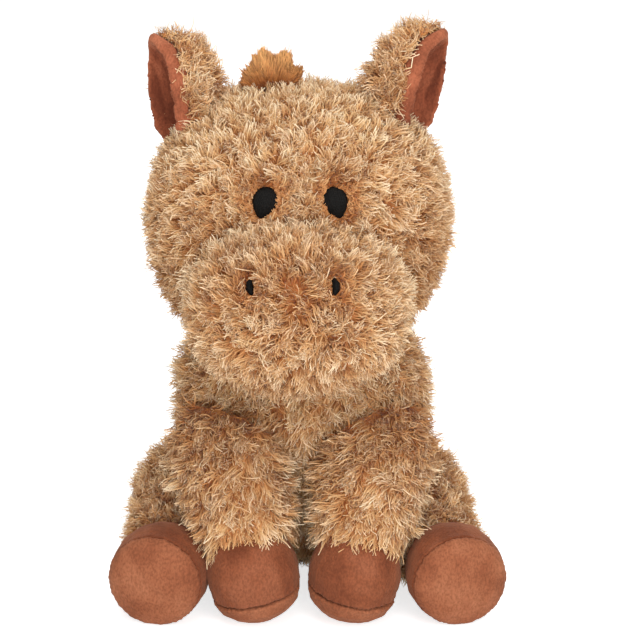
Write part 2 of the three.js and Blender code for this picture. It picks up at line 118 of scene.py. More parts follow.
def make_camera():
    back = Vector((0, -math.cos(VIEW_ELEVATION), math.sin(VIEW_ELEVATION)))
    camera = bpy.data.cameras.new("camera")
    camera.sensor_width = SENSOR_WIDTH
    camera.lens = SENSOR_WIDTH * VIEW_DISTANCE / (PIXEL * PHOTO_WIDTH_PX)
    holder = bpy.data.objects.new("camera", camera)
    holder.location = Vector((AIM_ASIDE, -AIM_FORWARD, AIM_HEIGHT)) + back * VIEW_DISTANCE
    holder.rotation_euler = back.to_track_quat("Z", "Y").to_euler()
    bpy.context.scene.collection.objects.link(holder)
    bpy.context.scene.camera = holder


def make_lamp(name, aside, forward, height, size, power):
    """A round lamp that shines on the middle of the horse."""
    lamp = bpy.data.lights.new(name, "AREA")
    lamp.shape = "DISK"
    lamp.size = size
    lamp.energy = power
    holder = bpy.data.objects.new(name, lamp)
    place = Vector((aside, -forward, height))
    holder.location = place
    towards = Vector((0, -LIT_FORWARD, AIM_HEIGHT)) - place
    holder.rotation_euler = towards.to_track_quat("-Z", "Y").to_euler()
    bpy.context.scene.collection.objects.link(holder)


def maximum(nodes, links, first, second):
    larger = nodes.new("ShaderNodeMath")
    larger.operation = "MAXIMUM"
    links.new(first, larger.inputs[0])
    links.new(second, larger.inputs[1])
    return larger.outputs[0]


def make_room():
    """Soft light from all round, and plain white where the background is seen."""
    world = bpy.data.worlds.new("studio")
    world.use_nodes = True
    nodes, links = world.node_tree.nodes, world.node_tree.links
    soft = nodes["Background"]
    soft.inputs["Color"].default_value = (*ROOM_COLOR, 1)
    soft.inputs["Strength"].default_value = ROOM_STRENGTH
    white = nodes.new("ShaderNodeBackground")
    white.inputs["Color"].default_value = (1, 1, 1, 1)
    path = nodes.new("ShaderNodeLightPath").outputs
    seen = maximum(nodes, links, path["Is Camera Ray"], path["Is Glossy Ray"])
    seen = maximum(nodes, links, seen, path["Is Transmission Ray"])
    mix = nodes.new("ShaderNodeMixShader")
    links.new(seen, mix.inputs["Fac"])
    links.new(soft.outputs[0], mix.inputs[1])
    links.new(white.outputs[0], mix.inputs[2])
    links.new(mix.outputs[0], nodes["World Output"].inputs["Surface"])
    bpy.context.scene.world = world


def make_floor():
    bpy.ops.mesh.primitive_plane_add(size=FLOOR_SIZE, location=(0, 0, -FLOOR_DROP))
    floor = bpy.context.object
    floor.name = "floor"
    material = bpy.data.materials.new("floor")
    material.use_nodes = True
    nodes, links = material.node_tree.nodes, material.node_tree.links
    shader = nodes["Principled BSDF"]
    shader.inputs["Base Color"].default_value = (FLOOR_GREY, FLOOR_GREY, FLOOR_GREY, 1)
    shader.inputs["Roughness"].default_value = FLOOR_ROUGHNESS
    path = nodes.new("ShaderNodeLightPath")
    glow = nodes.new("ShaderNodeMath")
    glow.operation = "MULTIPLY"
    glow.inputs[1].default_value = FLOOR_GLOW
    links.new(path.outputs["Is Camera Ray"], glow.inputs[0])
    shader.inputs["Emission Color"].default_value = (1, 1, 1, 1)
    links.new(glow.outputs[0], shader.inputs["Emission Strength"])
    floor.data.materials.append(material)


# Materials

ROUGHNESS = {"pile": 0.7, "backing": 0.95, "velour": 0.85, "thread": 0.6, "cotton": 0.9}
KNIT_SPOT = 2.5 * MM
KNIT_DETAIL = 4
NAP_DETAIL = 2
TWIST_DETAIL = 2
STROKED_SPOT = 15 * MM
SPECKLE_SPOT = 0.9 * MM
SPECKLE_STRETCH = 1.6
NAP_DEPTH = 0.7 * MM
TWIST_SPOT = 0.5 * MM
TWIST_DEPTH = 0.2 * MM
BUMP_STRENGTH = 0.5
SHEEN = 0.2
VELOUR_SHEEN_ROUGHNESS = 0.5
VELOUR_SHEEN_TINT = (1, 0.55, 0.35, 1)
CLOTH_SPECULAR = 0.25
THREAD_SPECULAR = 0.08
COTTON_WEAVE = 400
COTTON_DISTORTION = 2

# The main colour ramp of each material, as steps of the level that it follows and the screen colour there
MAIN_RAMPS = {
    "fur": [(0.0, (188, 112, 62)), (0.35, (214, 152, 95)), (0.7, (230, 186, 133)), (1.0, (252, 227, 192))],
    "straight_pile": [(0.0, (104, 46, 16)), (0.35, (176, 106, 50)), (1.0, (232, 178, 114))],
    "backing": [(0.35, (176, 112, 60)), (0.7, (206, 144, 86))],
    "russet_backing": [(0.35, (110, 52, 22)), (0.7, (150, 80, 38))],
    # The hoof's velour is the sole's made darker: partly its nap, which lies another way, and partly
    # painted shade
    "hoof_velour": [(0.34, (120, 63, 38)), (0.5, (137, 76, 48)), (0.66, (147, 86, 58))],
    "sole_velour": [(0.34, (140, 80, 52)), (0.5, (154, 92, 62)), (0.66, (164, 102, 71))],
    "ear_velour": [(0.34, (120, 62, 40)), (0.5, (144, 78, 52)), (0.66, (160, 92, 64))],
    "cotton": [(0.2, (190, 180, 162)), (0.8, (222, 214, 198))],
}

# Other ramps, with linear colours
SPECKLE = [(0.34, (0.78, 0.75, 0.72)), (0.5, (0.98, 0.975, 0.97)), (0.66, (1.17, 1.16, 1.15))]
# Painted shade in the ear's cup, running to a painted highlight where the lining lies open
CUP_PAINTED_SHADE_AND_HIGHLIGHT = [
    (0.3, (0.2, 0.14, 0.12)),
    (0.65, (0.62, 0.53, 0.49)),
    (0.9, (1.05, 1.0, 0.98)),
    (1.0, (1.3, 1.4, 1.45)),
]
THREAD = [(0.3, (0.002, 0.0018, 0.0016)), (0.7, (0.01, 0.009, 0.008))]
CURLY_TONES = [
    (0.0, (0.6, 0.42, 0.28)),
    (0.25, (0.88, 0.77, 0.64)),
    (0.5, (0.98, 0.95, 0.92)),
    (1.0, (1.04, 1.11, 1.11)),
]
STRAIGHT_TONES = [(0.0, (0.56, 0.5, 0.44)), (0.4, (0.95, 0.94, 0.92)), (1.0, (1.2, 1.2, 1.2))]


def color_of(red, green, blue):
    """Linear colour of a screen colour from 0 to 255."""
    return tuple(((value / 255 + 0.055) / 1.055) ** 2.4 for value in (red, green, blue))


def main_steps(name):
    return [(level, color_of(*color)) for level, color in MAIN_RAMPS[name]]


def new_material(name, roughness, specular=CLOTH_SPECULAR):
    material = bpy.data.materials.new(name)
    material.use_nodes = True
    shader = material.node_tree.nodes["Principled BSDF"]
    shader.inputs["Roughness"].default_value = roughness
    shader.inputs["Specular IOR Level"].default_value = specular
    return material, material.node_tree.nodes, material.node_tree.links, shader


def ramp_color(nodes, links, level, steps):
    ramp = nodes.new("ShaderNodeValToRGB")
    elements = ramp.color_ramp.elements
    while len(elements) < len(steps):
        elements.new(0.5)
    for element, (place, color) in zip(elements, steps):
        element.position = place
        element.color = (*color, 1)
    links.new(level, ramp.inputs["Fac"])
    return ramp.outputs["Color"]


def noise_level(nodes, links, spot, detail, stretch=1):
    """Noise whose spots have a given size, stretched along z."""
    place = nodes.new("ShaderNodeTexCoord")
    squeeze = nodes.new("ShaderNodeMapping")
    squeeze.inputs["Scale"].default_value = (1, 1, 1 / stretch)
    texture = nodes.new("ShaderNodeTexNoise")
    texture.inputs["Scale"].default_value = 1 / spot
    texture.inputs["Detail"].default_value = detail
    links.new(place.outputs["Object"], squeeze.inputs["Vector"])
    links.new(squeeze.outputs["Vector"], texture.inputs["Vector"])
    return texture.outputs["Fac"]


def map_level(nodes, links, map_name):
    """The two directions of a UV map, as the outputs X and Y."""
    place = nodes.new("ShaderNodeUVMap")
    place.uv_map = map_name
    split = nodes.new("ShaderNodeSeparateXYZ")
    links.new(place.outputs["UV"], split.inputs[0])
    return split.outputs


def multiplied(nodes, links, first, second):
    mix = nodes.new("ShaderNodeMix")
    mix.data_type = "RGBA"
    mix.blend_type = "MULTIPLY"
    mix.inputs["Factor"].default_value = 1
    links.new(first, mix.inputs["A"])
    links.new(second, mix.inputs["B"])
    return mix.outputs["Result"]


def add_bump(nodes, links, shader, level, depth):
    bump = nodes.new("ShaderNodeBump")
    bump.inputs["Strength"].default_value = BUMP_STRENGTH
    bump.inputs["Distance"].default_value = depth
    links.new(level, bump.inputs["Height"])
    links.new(bump.outputs["Normal"], shader.inputs["Normal"])


def pile_material(name, tone_steps):
    """Pile whose colour runs from root to tip, and differs a little from strand to strand."""
    material, nodes, links, shader = new_material(name, ROUGHNESS["pile"])
    strand = map_level(nodes, links, "Strand")
    along = ramp_color(nodes, links, strand["Y"], main_steps(name))
    tone = ramp_color(nodes, links, strand["X"], tone_steps)
    links.new(multiplied(nodes, links, along, tone), shader.inputs["Base Color"])
    shader.inputs["Sheen Weight"].default_value = SHEEN
    return material


def backing_material(name):
    """The knitted backing that shows between the locks."""
    material, nodes, links, shader = new_material(name, ROUGHNESS["backing"])
    knit = noise_level(nodes, links, KNIT_SPOT, KNIT_DETAIL)
    links.new(ramp_color(nodes, links, knit, main_steps(name)), shader.inputs["Base Color"])
    return material


def velour_material(name, painted_cup_shading=False):
    """Short dense nap: mottled where it was stroked, with a fine speckle. A lining gets painted shade where
    its cup is closed in and a painted highlight where it lies open.
    """
    material, nodes, links, shader = new_material(name, ROUGHNESS["velour"])
    stroked = noise_level(nodes, links, STROKED_SPOT, NAP_DETAIL)
    speckle = noise_level(nodes, links, SPECKLE_SPOT, NAP_DETAIL, SPECKLE_STRETCH)
    wide = ramp_color(nodes, links, stroked, main_steps(name))
    fine = ramp_color(nodes, links, speckle, SPECKLE)
    color = multiplied(nodes, links, wide, fine)
    if painted_cup_shading:
        # Painted shade inside the ear's cup and a painted highlight on its open rim
        rise = ramp_color(nodes, links, map_level(nodes, links, "Hollow")["X"], CUP_PAINTED_SHADE_AND_HIGHLIGHT)
        color = multiplied(nodes, links, color, rise)
    links.new(color, shader.inputs["Base Color"])
    add_bump(nodes, links, shader, speckle, NAP_DEPTH)
    shader.inputs["Sheen Weight"].default_value = SHEEN
    shader.inputs["Sheen Roughness"].default_value = VELOUR_SHEEN_ROUGHNESS
    shader.inputs["Sheen Tint"].default_value = VELOUR_SHEEN_TINT
    return material


def thread_material(name):
    """Black rayon thread, a little glossy along its twist."""
    material, nodes, links, shader = new_material(name, ROUGHNESS["thread"], THREAD_SPECULAR)
    twist = noise_level(nodes, links, TWIST_SPOT, TWIST_DETAIL)
    links.new(ramp_color(nodes, links, twist, THREAD), shader.inputs["Base Color"])
    add_bump(nodes, links, shader, twist, TWIST_DEPTH)
    return material


def cotton_material(name):
    """Plain woven cotton."""
    material, nodes, links, shader = new_material(name, ROUGHNESS["cotton"])
    weave = nodes.new("ShaderNodeTexWave")
    weave.inputs["Scale"].default_value = COTTON_WEAVE
    weave.inputs["Distortion"].default_value = COTTON_DISTORTION
    links.new(ramp_color(nodes, links, weave.outputs["Fac"], main_steps(name)), shader.inputs["Base Color"])
    return material


# Shapes taken from the frame

def unit(vectors):
    return vectors / np.maximum(np.linalg.norm(vectors, axis=-1, keepdims=True), TINY)


def mesh_arrays(mesh):
    """Places and normals of a mesh's vertices, as rows."""
    places = np.empty(len(mesh.vertices) * 3, np.float32)
    normals = np.empty(len(mesh.vertices) * 3, np.float32)
    mesh.vertices.foreach_get("co", places)
    mesh.vertex_normals.foreach_get("vector", normals)
    return places.reshape(-1, 3).astype(float), normals.reshape(-1, 3).astype(float)


def move_vertices(mesh, places):
    mesh.vertices.foreach_set("co", places.astype(np.float32).ravel())
    mesh.update()


def smooth_copy(node, kind):
    """A remeshed, smoothed copy of a CAD node."""
    voxel, rounds = REMESHING[kind]
    copy = bpy.data.objects.new(f"{node}_shape", frame["nodes"][node].data.copy())
    bpy.context.scene.collection.objects.link(copy)
    remesh = copy.modifiers.new("remesh", "REMESH")
    remesh.mode = "VOXEL"
    remesh.voxel_size = voxel
    smooth = copy.modifiers.new("smooth", "SMOOTH")
    smooth.factor = SMOOTHING_SHARE
    smooth.iterations = rounds
    bpy.context.view_layer.update()
    evaluated = copy.evaluated_get(bpy.context.evaluated_depsgraph_get())
    mesh = bpy.data.meshes.new_from_object(evaluated)
    bpy.data.objects.remove(copy)
    mesh.polygons.foreach_set("use_smooth", np.ones(len(mesh.polygons), bool))
    mesh.materials.clear()
    mesh.update()
    return mesh


def tree_of(*names):
    """One search tree for the surfaces of several CAD nodes."""
    vertices, faces = [], []
    for name in names:
        data = frame["nodes"][name].data
        offset = len(vertices)
        vertices.extend(vertex.co[:] for vertex in data.vertices)
        faces.extend([offset + i for i in polygon.vertices] for polygon in data.polygons)
    return BVHTree.FromPolygons(vertices, faces)


def distances(places, *names):
    """How far each place is from the nearest of several CAD nodes."""
    tree = tree_of(*names)
    return np.array([tree.find_nearest(place)[3] for place in places])


def middle_of(node):
    low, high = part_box(node)
    return np.array((low + high) / 2)


def lining_of(ear):
    return ear.replace("ear", "ear_lining")


def body_of_node(node):
    bodies = frame["record"]["behaviour"]["bodies"]
    return next(body for body, members in bodies.items() if node in members)


def add_piece(name, mesh, material, node):
    """A piece of the scene that rides on the body of a CAD node."""
    mesh.materials.append(material)
    piece = bpy.data.objects.new(name, mesh)
    bpy.context.scene.collection.objects.link(piece)
    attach(piece, body_of_node(node))
    return piece


def wobble(places, size, seed):
    """Smooth noise from -1 to 1 at each place, with bumps of a given size."""
    shift = Vector((seed, seed * 2, seed * 3))
    return np.array([noise.noise(Vector(place) / size + shift) for place in places])


def scatter(mesh, density, rng):
    """Random places on a mesh, density per square millimetre, with their normals."""
    mesh.calc_loop_triangles()
    corners = np.empty(len(mesh.loop_triangles) * 3, np.int32)
    mesh.loop_triangles.foreach_get("vertices", corners)
    corners = corners.reshape(-1, 3)
    places, normals = mesh_arrays(mesh)
    edges = places[corners]
    areas = np.linalg.norm(np.cross(edges[:, 1] - edges[:, 0], edges[:, 2] - edges[:, 0]), axis=1) / 2
    count = int(areas.sum() / MM**2 * density)
    chosen = rng.choice(len(areas), count, p=areas / areas.sum())
    first, second = rng.random((2, count))
    flip = first + second > 1
    first, second = np.where(flip, 1 - first, first), np.where(flip, 1 - second, second)
    weights = np.stack([1 - first - second, first, second], axis=1)[:, :, None]
    roots = (places[corners[chosen]] * weights).sum(axis=1)
    return roots, unit((normals[corners[chosen]] * weights).sum(axis=1))


# Which way the pile is combed

DOWNWARD = (0.0, -0.25, -1.0)
EAR_FRONT = 5 * MM
EAR_TIP = 8 * MM
EAR_EDGE = 3 * MM
OVER_EDGE_PULL = 2.2
OFF_EDGE_PULL = -2.0
PARTED_REACH = {"eye": 9 * MM, "nostril": 5 * MM}
PARTED_PULL = 2.4
PARTED_LEVEL_SHARE = 0.5
PARTED_BELOW_SHARE = 0.2
BRIDGE_DROP = 4 * MM
WHORL_HEIGHT_SHARE = 0.66


def tangent(directions, normals):
    return unit(directions - (directions * normals).sum(axis=1, keepdims=True) * normals)


def comb_down(node, roots):
    return np.tile(DOWNWARD, (len(roots), 1))


def in_front_of(lining, roots):
    """Which roots lie along the front edge of an ear's mouth, below its tip."""
    low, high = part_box(lining)
    return (roots[:, 1] < middle_of(lining)[1] - EAR_FRONT) & (roots[:, 2] < high.z - EAR_TIP)


def comb_ear(node, roots):
    """Up the ear, over the front edge of its mouth and away from the rest of that edge."""
    lining = lining_of(node)
    near = np.exp(-distances(roots, lining) / EAR_EDGE)[:, None]
    pull = np.where(in_front_of(lining, roots), OVER_EDGE_PULL, OFF_EDGE_PULL)[:, None]
    return np.array([0.0, 0.0, 1.0]) + pull * near * unit(middle_of(lining) - roots)


def comb_leg(node, roots):
    """Towards the hoof of the leg."""
    return middle_of(node.replace("leg", "sole")) - roots


def parted(roots, patch):
    """Away from the two eyes or nostrils, and less so below them."""
    reach = PARTED_REACH[patch]
    flow = np.zeros(roots.shape)
    for side in SIDES:
        away = roots - middle_of(f"{patch}_{side}")
        distance = np.linalg.norm(away, axis=1, keepdims=True)
        above = np.clip(PARTED_LEVEL_SHARE + away[:, 2:] / reach, PARTED_BELOW_SHARE, 1)
        flow += PARTED_PULL * above * unit(away) * np.exp(-((distance / reach) ** 2))
    return flow


def comb_face(node, roots):
    """Away from the bridge of the nose, and away from the eyes."""
    low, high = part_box("muzzle")
    bridge = np.array([(low.x + high.x) / 2, (low.y + high.y) / 2, high.z - BRIDGE_DROP])
    return unit(roots - bridge) + parted(roots, "eye")


def comb_muzzle(node, roots):
    """Away from a whorl between the nostrils."""
    low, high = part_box("muzzle")
    whorl = np.array([(low.x + high.x) / 2, low.y, low.z + WHORL_HEIGHT_SHARE * (high.z - low.z)])
    return unit(roots - whorl) + parted(roots, "nostril")


COMBS = {"down": comb_down, "ear": comb_ear, "face": comb_face, "muzzle": comb_muzzle, "leg": comb_leg}


# The pile round the embroidery of the face

CLEAR_REACH = {"eye": 5 * MM, "nostril": 4.5 * MM}
OPENINGS = {"eye": {"lean": 0.42, "width_share": 0.78}, "nostril": {"lean": 0, "width_share": 0.9}}
OPENING_DEPTH = 5 * MM
OPENING_SHARE = 0.8


def face_clear(places, spread):
    """From 0 at the embroidery of the face to 1 where the pile has its full height."""
    clear = np.ones(len(places))
    for name, reach in CLEAR_REACH.items():
        for side in SIDES:
            clear = np.minimum(clear, distances(places, f"{name}_{side}") / (reach * spread))
    return np.clip(clear, 0, 1)


def beside_patches(paths):
    """Which strands keep off the embroidery of the face, seen from the front. The clear part of an eye
    leans outwards at the bottom, so that its lower inner edge lies under the pile."""
    beside = np.ones(len(paths), bool)
    for name, opening in OPENINGS.items():
        for side, sign in SIDES.items():
            low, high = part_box(f"{name}_{side}")
            across = (paths[:, :, 0] - (low.x + high.x) / 2) / ((high.x - low.x) / 2)
            upright = (paths[:, :, 2] - (low.z + high.z) / 2) / ((high.z - low.z) / 2)
            across = (across + sign * opening["lean"] * upright) / opening["width_share"]
            in_front = paths[:, :, 1] < high.y + OPENING_DEPTH
            beside &= ~((across**2 + upright**2 < OPENING_SHARE) & in_front).any(axis=1)
    return beside


# How much redder and darker the pile is in places; a shade below 0 makes it paler. Over the eye
# sockets, on the cheeks, in the groove round the muzzle, under the chin and between the front legs the
# darker pile is painted shade, and the paler rim of the muzzle beside the head is a painted highlight.
# Shades are taken from a strand's tone.

# Painted shade over the eyes, where the sunken eye sockets lie in shade
SOCKET_PAINTED_SHADE = 1.1
LID_RISE = 9 * MM
LID_SIZE = 6 * MM
# Painted shade on the cheeks, which turn away from the light
CHEEK_PAINTED_SHADE = 0.28
CHEEK_TOP = 1.5
CHEEK_FALL = 2
# Painted shade in the groove between the head and the muzzle
GROOVE_PAINTED_SHADE = 0.34
GROOVE_REACH = 8 * MM
GROOVE_RISE = 3
GROOVE_START = 0.8
BROW_SHADE = -0.3
BROW_RISE = 2
BROW_START = 1
NOSE_SHADE = 0.24
NOSE_HEIGHT_SHARE = 0.72
NOSE_SPREAD_SHARES = {"height": 0.25, "across": 0.6}
NOSTRIL_SHADE = 0.2
NOSTRIL_SHADE_SPREAD = 1.6
# Painted shade under the chin
CHIN_PAINTED_SHADE = 0.3
CHIN_FALL = 2.5
# Painted highlight: the muzzle's rim beside the head is paler
RIM_PAINTED_HIGHLIGHT = -0.45
RIM_REACH = 10 * MM
SHOULDER_SHADE = 0.65
SHOULDER_HEIGHT_SHARE = 0.42
EAR_ROOT_SHADE = 0.44
EAR_TIP_SHADE = 0.6
# Painted shade on the chest between the front legs
CHEST_PAINTED_SHADE = 0.7
CHEST_REACH = 9 * MM
BODY_SHADE = -0.26
HAUNCH_SHADE = -0.12


def shares_of(node, roots):
    """How far out from the middle and how far up each root is, as shares of the node's box."""
    low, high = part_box(node)
    across = np.abs(roots[:, 0] - (low.x + high.x) / 2) / ((high.x - low.x) / 2)
    return across, (roots[:, 2] - low.z) / (high.z - low.z)


def muzzle_shade(roots):
    """Redder on the bridge of the nose and round the nostrils, darker under the chin as painted shade, and
    paler on the rim beside the head as a painted highlight.
    """
    across, height = shares_of("muzzle", roots)
    up = (height - NOSE_HEIGHT_SHARE) / NOSE_SPREAD_SHARES["height"]
    nose = np.exp(-(up**2) - (across / NOSE_SPREAD_SHARES["across"]) ** 2)
    # Painted highlight on the muzzle's rim beside the head
    rim = np.exp(-distances(roots, "head") / RIM_REACH)
    chin = np.clip(1 - CHIN_FALL * height, 0, 1)
    beside = 1 - face_clear(roots, NOSTRIL_SHADE_SPREAD)
    return NOSE_SHADE * nose + NOSTRIL_SHADE * beside + CHIN_PAINTED_SHADE * chin + RIM_PAINTED_HIGHLIGHT * rim


def head_shade(roots):
    """Redder and darker over the eye sockets, on the cheeks and in the sides of the groove round the
    muzzle, all painted shade; paler on the brow.
    """
    across, height = shares_of("head", roots)
    painted_socket_shade = np.zeros(len(roots))
    for side in SIDES:
        lid = middle_of(f"eye_{side}") + np.array([0, 0, LID_RISE])
        painted_socket_shade += np.exp(-((np.linalg.norm(roots - lid, axis=1) / LID_SIZE) ** 2))
    aside = np.clip(GROOVE_RISE * across - GROOVE_START, 0, 1)
    groove = np.exp(-distances(roots, "muzzle") / GROOVE_REACH) * aside
    cheeks = across * np.clip(CHEEK_TOP - CHEEK_FALL * height, 0, 1)
    brow = np.clip(BROW_RISE * height - BROW_START, 0, 1)
    return SOCKET_PAINTED_SHADE * painted_socket_shade + CHEEK_PAINTED_SHADE * cheeks + GROOVE_PAINTED_SHADE * groove + BROW_SHADE * brow


def pile_shade(node, roots):
    height = shares_of(node, roots)[1]
    if node == "muzzle":
        return muzzle_shade(roots)
    if node == "head":
        return head_shade(roots)
    if node.startswith("front_leg"):
        return SHOULDER_SHADE * (height - SHOULDER_HEIGHT_SHARE)
    if node.startswith("ear"):
        return EAR_ROOT_SHADE - EAR_TIP_SHADE * height
    if node == "body":
        # Painted shade where the front legs shade the chest
        near = np.exp(-distances(roots, "front_leg_left", "front_leg_right") / CHEST_REACH)
        return CHEST_PAINTED_SHADE * near + BODY_SHADE
    return np.full(len(roots), HAUNCH_SHADE)


# Strands

STRAND_POINTS = 6
STRANDS_PER_PIECE = 19500
STRAND_WIDTH = 0.54 * MM
WIDTH_SHARES = (0.7, 1.25)
TIP_WIDTH_SHARE = 0.55
FACING_SPREAD = 0.42
CELL_ACROSS_SHARES = (0.1, 0.8)
CELL_ALONG_SHARES = (0.05, 0.9)


def strand_mesh(name, paths, facing, width, tone, grown, end_share):
    """Flat strands as one mesh. The map Strand holds each strand's tone and how far along a full-length
    strand each point lies. The map OFBake gives each strand a place of its own."""
    count, points = paths.shape[:2]
    along = unit(np.gradient(paths, axis=1))
    side = unit(np.cross(along, facing[:, None, :])) * width[:, None, None] / 2
    share = np.linspace(0, 1, points)
    taper = (1 - (1 - end_share) * share**2)[None, :, None]
    vertices = np.stack([paths - side * taper, paths + side * taper], axis=2)
    per_strand = 2 * points
    steps = 2 * np.arange(points - 1)[:, None]
    corner = (steps + np.array([0, 1, 3, 2])).ravel()

    mesh = bpy.data.meshes.new(name)
    mesh.vertices.add(count * per_strand)
    mesh.loops.add(count * len(corner))
    mesh.polygons.add(count * (points - 1))
    mesh.vertices.foreach_set("co", vertices.astype(np.float32).ravel())
    loops = (np.arange(count)[:, None] * per_strand + corner).astype(np.int32)
    mesh.loops.foreach_set("vertex_index", loops.ravel())
    begin = 4 * np.arange(count * (points - 1), dtype=np.int32)
    mesh.polygons.foreach_set("loop_start", begin)
    mesh.polygons.foreach_set("use_smooth", np.ones(len(begin), bool))
    mesh.update(calc_edges=True)

    level = np.repeat(share, 2)[corner]
    edge = np.tile([0.0, 1.0], points)[corner]
    cells = math.ceil(math.sqrt(count))
    column = np.arange(count)[:, None] % cells
    row = np.arange(count)[:, None] // cells
    strand_map = np.stack([tone[:, None] + 0 * level, level * grown[:, None]], axis=2)
    cell_across = CELL_ACROSS_SHARES[0] + CELL_ACROSS_SHARES[1] * edge
    cell_along = CELL_ALONG_SHARES[0] + CELL_ALONG_SHARES[1] * level
    bake_map = np.stack([(column + cell_across) / cells, (row + cell_along) / cells], axis=2)
    for map_name, values in (("Strand", strand_map), ("OFBake", bake_map)):
        layer = mesh.uv_layers.new(name=map_name)
        layer.uv.foreach_set("vector", values.astype(np.float32).ravel())
    return mesh


def add_pile(node, paths, normals, rng, tone, grown, width, end_share, material, slot):
    """Strands of one node, in as many pieces as their number asks for, split from front to back."""
    facing = unit(normals + rng.normal(size=(len(paths), 3)) * FACING_SPREAD)
    parts = math.ceil(len(paths) / STRANDS_PER_PIECE)
    for number, chosen in enumerate(np.array_split(np.argsort(paths[:, 0, 1]), parts), start=1):
        name = f"{node}_pile_{number}"
        strands = (paths[chosen], facing[chosen], width[chosen], tone[chosen], grown[chosen])
        add_piece(name, strand_mesh(name, *strands, end_share), material, node)


# Curly pile

LOCKS_AT_LEAST = 4
LOOSE_SHARE = 0.15
LOOSE_SPREAD = 0.42
TIDY_SPREAD = 0.15
LOWEST_LIFT = 0.3
LENGTH_SHARES = (0.72, 1.12)
LOCK_LENGTH_SHARES = (0.8, 1.1)
BOW_SHARES = (0.15, 0.6)
GATHER_SHARES = (0.2, 0.5)
LOOSE_GATHER_SHARE = 0.05
GATHER_POWER = 1.3
TURNS = (0.5, 1.15)
LOOK_AHEAD_SHARE = 1.2
TRIM_SHARE = 0.9
TRIM_OVERLAP = 1.2 * MM

HEM_REACH = 9 * MM
HEM_LAY = 1.1
HEM_CALM_SHARE = 0.6
HEM_LOOSE_SHARE = 0.5
HEM_DROOP_SHARE = 0.8
HEM_SHORT_SHARE = 0.2
EAR_RIM = 5 * MM
EAR_FRINGE = 3.5 * MM
RIM_SHORT_SHARE = 0.5
RIM_CURL_SHARE = 0.3
FRINGE_CURL_SHARE = 1.3
PATCH_LENGTH_SHARE = 0.35
PATCH_LENGTH_SPREAD = 1
MUZZLE_EDGE = 6 * MM
MUZZLE_EDGE_SHARE = 0.25
EXTRA_DENSITY_SHARE = 1.5
EXTRA_SPREAD = 1.3

SKIN_RISE = 10 * MM
SKIN_AT_HOOF_SHARE = 0.3
SKIN_AT_PATCH_SHARE = 0.15
SKIN_SPREAD = 1.5

WIDE_SPOT = 22 * MM
WIDE_SPOT_TONE = 0.22
WIDE_SPOT_SEED = 3
SMALL_SPOT = 8 * MM
SMALL_SPOT_TONE = 0.12
SMALL_SPOT_SEED = 4
MEAN_TONE = 0.5
STRAND_TONE_SPREAD = 0.17
LOCK_TONE_SPREAD = 0.12
GROWN_SHARES = (0.45, 1.1)
EAR_GROWN_SHARE = 0.85


def trimmed_lengths(roots, directions, lengths, blocked):
    """Strands end a little past the first neighbour that they meet."""
    trimmed = lengths.copy()
    for i, (root, direction) in enumerate(zip(roots, directions)):
        distance = blocked.ray_cast(root, direction, lengths[i] * LOOK_AHEAD_SHARE)[3]
        if distance is not None:
            trimmed[i] = min(lengths[i], distance * TRIM_SHARE + TRIM_OVERLAP)
    return trimmed


def lock_index(roots, count, rng):
    """Which lock each strand belongs to, and the strand at the middle of each lock."""
    centres = rng.choice(len(roots), count, replace=False)
    finder = KDTree(count)
    for i, k in enumerate(centres):
        finder.insert(roots[k], i)
    finder.balance()
    return np.array([finder.find(root)[1] for root in roots]), centres


def curly_paths(node, roots, normals, rng, style, lengths, hem, curl, blocked):
    """Strands that gather into locks and curl, as an array of strand by point."""
    count = len(roots)
    lock_count = max(LOCKS_AT_LEAST, int(count / (style["density"] * style["lock"] ** 2)))
    lock, centres = lock_index(roots, lock_count, rng)

    flow = tangent(COMBS[style["comb"]](node, roots), normals)
    wander = rng.normal(size=(lock_count, 3)) * style["wander"]
    lie = style["lay"] + HEM_LAY * hem[:, None]
    aim = unit(normals + flow * lie + wander[lock] * (1 - HEM_CALM_SHARE * hem[:, None]))
    lock_aim = aim[centres]
    loose = rng.random(count) < LOOSE_SHARE
    spread = np.where(loose, LOOSE_SPREAD, TIDY_SPREAD)[:, None]
    own_aim = unit(aim + rng.normal(size=(count, 3)) * spread)
    lift = np.clip(LOWEST_LIFT - (own_aim * normals).sum(axis=1), 0, 1)
    own_aim = unit(own_aim + normals * lift[:, None])

    length = lengths * rng.uniform(*LENGTH_SHARES, count)
    length *= rng.uniform(*LOCK_LENGTH_SHARES, lock_count)[lock]
    length = trimmed_lengths(roots, own_aim, length, blocked)

    bow = tangent(rng.normal(size=(lock_count, 3)), lock_aim) * rng.uniform(*BOW_SHARES, (lock_count, 1))
    gather = np.where(loose, LOOSE_GATHER_SHARE, rng.uniform(*GATHER_SHARES, count))
    across = tangent(rng.normal(size=(count, 3)), own_aim)
    third = np.cross(own_aim, across)
    phase = rng.uniform(0, 2 * math.pi, count)
    turns = rng.uniform(*TURNS, count)
    paths = np.empty((count, STRAND_POINTS, 3))
    for k in range(STRAND_POINTS):
        share = k / (STRAND_POINTS - 1)
        bend = share**2 * length[:, None]
        reach = (length * share)[:, None]
        droop = flow * bend * hem[:, None] * HEM_DROOP_SHARE
        own = roots + own_aim * reach + bow[lock] * bend + droop
        centre = roots[centres][lock] + lock_aim[lock] * reach + bow[lock] * bend + droop
        pull = (gather * (1 - HEM_LOOSE_SHARE * hem) * share**GATHER_POWER)[:, None]
        turn = phase + 2 * math.pi * turns * share
        turned = across * np.cos(turn)[:, None] + third * np.sin(turn)[:, None]
        paths[:, k] = own * (1 - pull) + centre * pull + turned * (curl * share)[:, None]
    paths[:, 0] = roots
    paths[:, :, 2] = np.maximum(paths[:, :, 2], FLOOR_CLEAR)
    return paths, length, lock


